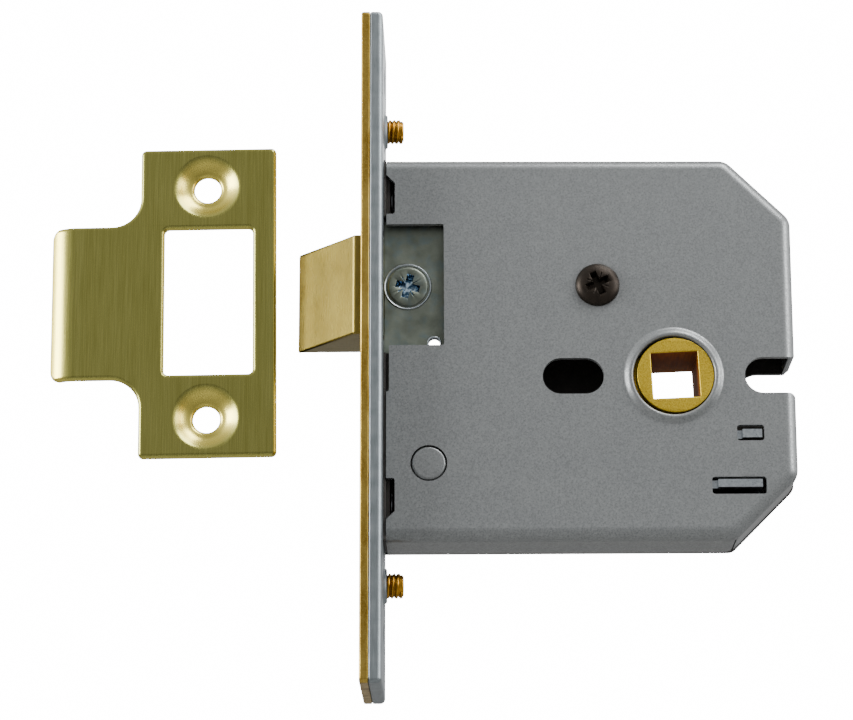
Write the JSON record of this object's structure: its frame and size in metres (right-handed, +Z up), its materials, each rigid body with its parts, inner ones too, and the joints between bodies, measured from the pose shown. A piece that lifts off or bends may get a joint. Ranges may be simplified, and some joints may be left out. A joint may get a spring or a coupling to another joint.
{
  "type": "mortise lock",
  "caption": "Upright mortise latch: painted case on a two layer forend, bevelled spring latch bolt, square follower, through bolt openings, and a lipped strike plate.",
  "frame": {"origin": "centre of the outer face of the forend, level with the middle of its height", "axes": "+X runs into the door from the forend towards the rear of the case, +Z runs up along the forend, +Y runs through the thickness of the case away from the face that carries the screw heads; the latch bolt points along -X"},
  "size_m": [0.1384, 0.025, 0.126],
  "materials": {
    "brass_plate": "satin, polished and lacquered edges",
    "brass_screw": "bright turned brass",
    "bolt_brass": "machined and lightly brushed",
    "hub_brass": "sawn and tumbled brass",
    "strike_brass": "satin brass with a vertical grain",
    "grey_paint": "fine metallic grey stove paint",
    "black_screw": "black oxide with worn brown edges",
    "zinc_steel": "bright zinc plate",
    "zinc_passivate": "dull passivated zinc plate",
    "bright_steel": "bright zinc plate",
    "spring_wire": "drawn spring steel wire"
  },
  "bodies": {
    "lock_case": {"outer_forend": "brass_plate", "inner_forend": "zinc_steel", "plate_screw_upper": "brass_screw", "plate_screw_lower": "brass_screw", "forend_rivet_upper": "bright_steel", "forend_rivet_lower": "bright_steel", "case_body": "grey_paint", "case_cover": "grey_paint", "case_pillar": "zinc_steel", "case_screw": "black_screw", "case_rivet": "grey_paint", "latch_spring": "spring_wire", "follower_stop": "zinc_steel", "spring_anchor": "zinc_steel", "follower_spring": "spring_wire"},
    "latch_bolt": {"latch_head": "bolt_brass", "latch_tail": "zinc_passivate", "latch_screw": "bright_steel", "spring_guide": "bright_steel"},
    "follower_hub": {"follower": "hub_brass", "follower_arm": "zinc_passivate"},
    "strike": {"strike_plate": "strike_brass"}
  },
  "joints": [
    {"name": "follower_turn", "type": "hinge", "parent": "lock_case", "child": "follower_hub", "pos_m": [0.057, 0, -0.0062], "axis": [0, 1, 0], "range_deg": [0, 37.66], "deforming": ["follower_spring"]},
    {"name": "latch_slide", "type": "slide", "parent": "lock_case", "child": "latch_bolt", "axis": [1, 0, 0], "range_m": [0, 0.0117], "stiffness_N_per_m": 500, "springref_m": -0.01, "deforming": ["latch_spring"]},
    {"name": "strike_apart", "type": "slide", "parent": "lock_case", "child": "strike", "axis": [-1, 0, 0], "range_m": [0, 0.06]}
  ],
  "couplings": [
    {"joint": "follower_turn", "follows": "latch_slide", "rad_per_m": 56.178}
  ]
}
